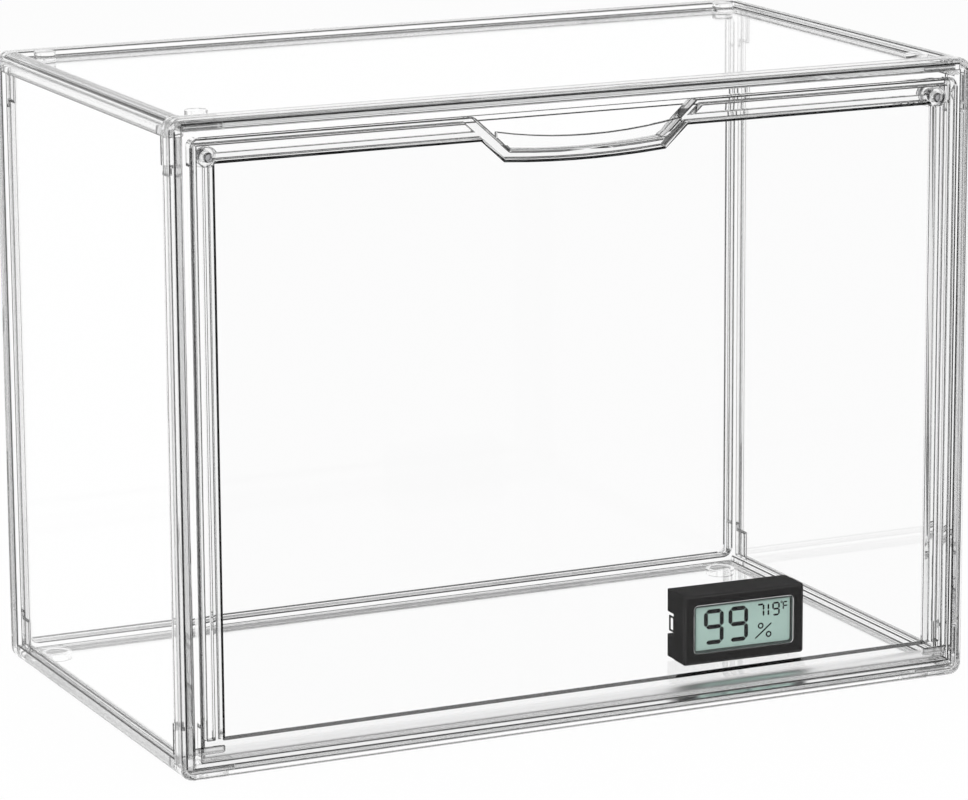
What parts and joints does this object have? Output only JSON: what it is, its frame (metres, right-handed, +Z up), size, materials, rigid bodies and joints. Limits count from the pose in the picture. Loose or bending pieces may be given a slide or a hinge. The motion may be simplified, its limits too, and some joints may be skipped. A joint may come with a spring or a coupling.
{
  "type": "tabletop mini greenhouse",
  "caption": "Clear tabletop mini greenhouse: slot-together box with a drop-front magnetic door, finger pull, stacking studs and a small loose thermo-hygrometer inside.",
  "frame": {"origin": "middle of the footprint, on the plane the case stands on", "axes": "+X to the right along the front, +Y from the front to the back, +Z up"},
  "size_m": [0.31, 0.1816, 0.2315],
  "materials": {
    "clear_panel": "clear, polished, colourless",
    "clear_key": "clear, polished, colourless",
    "magnet_nickel": "nickel-plated, slightly dull",
    "strike_steel": "plain zinc-plated",
    "meter_black": "black, fine matte texture",
    "meter_lens": "clear, polished",
    "meter_lcd": "grey-green reflective liquid-crystal glass",
    "board_green": "green solder mask",
    "strip_rubber": "soft, matt",
    "cell_steel": "bright steel can",
    "contact_brass": "tinned spring sheet",
    "sensor_white": "white moulded cap"
  },
  "bodies": {
    "case": {"front_frame": "clear_panel", "back_panel": "clear_panel", "top_panel": "clear_panel", "base_panel": "clear_panel", "panel_left": "clear_panel", "panel_right": "clear_panel", "key_front_top_left": "clear_key", "key_front_top_right": "clear_key", "key_front_bottom_left": "clear_key", "key_front_bottom_right": "clear_key", "key_back_top_left": "clear_key", "key_back_top_right": "clear_key", "key_back_bottom_left": "clear_key", "key_back_bottom_right": "clear_key", "catch_strike_left": "strike_steel", "catch_strike_right": "strike_steel"},
    "door": {"door_panel": "clear_panel", "hinge_pin_left": "clear_panel", "hinge_pin_right": "clear_panel", "door_magnet_left": "magnet_nickel", "door_magnet_right": "magnet_nickel"},
    "meter": {"meter_front_case": "meter_black", "meter_rear_case": "meter_black", "meter_clip_left": "meter_black", "meter_clip_right": "meter_black", "meter_window": "meter_lens", "meter_display": "meter_lcd", "meter_board": "board_green", "meter_strip": "strip_rubber", "meter_cells": "cell_steel", "meter_contacts": "contact_brass", "meter_sensor": "sensor_white"},
    "meter_hatch": {"meter_hatch": "meter_black"}
  },
  "joints": [
    {"name": "door_hinge", "type": "hinge", "parent": "case", "child": "door", "pos_m": [0, -0.08625, 0.01035], "axis": [1, 0, 0], "range_deg": [0, 90]},
    {"name": "meter_lift", "type": "slide", "parent": "case", "child": "meter", "axis": [0, 0, 1], "range_m": [0, 0.1]},
    {"name": "hatch_pull", "type": "slide", "parent": "meter", "child": "meter_hatch", "axis": [0.0349, 0.9994, 0], "range_m": [0, 0.012]}
  ]
}
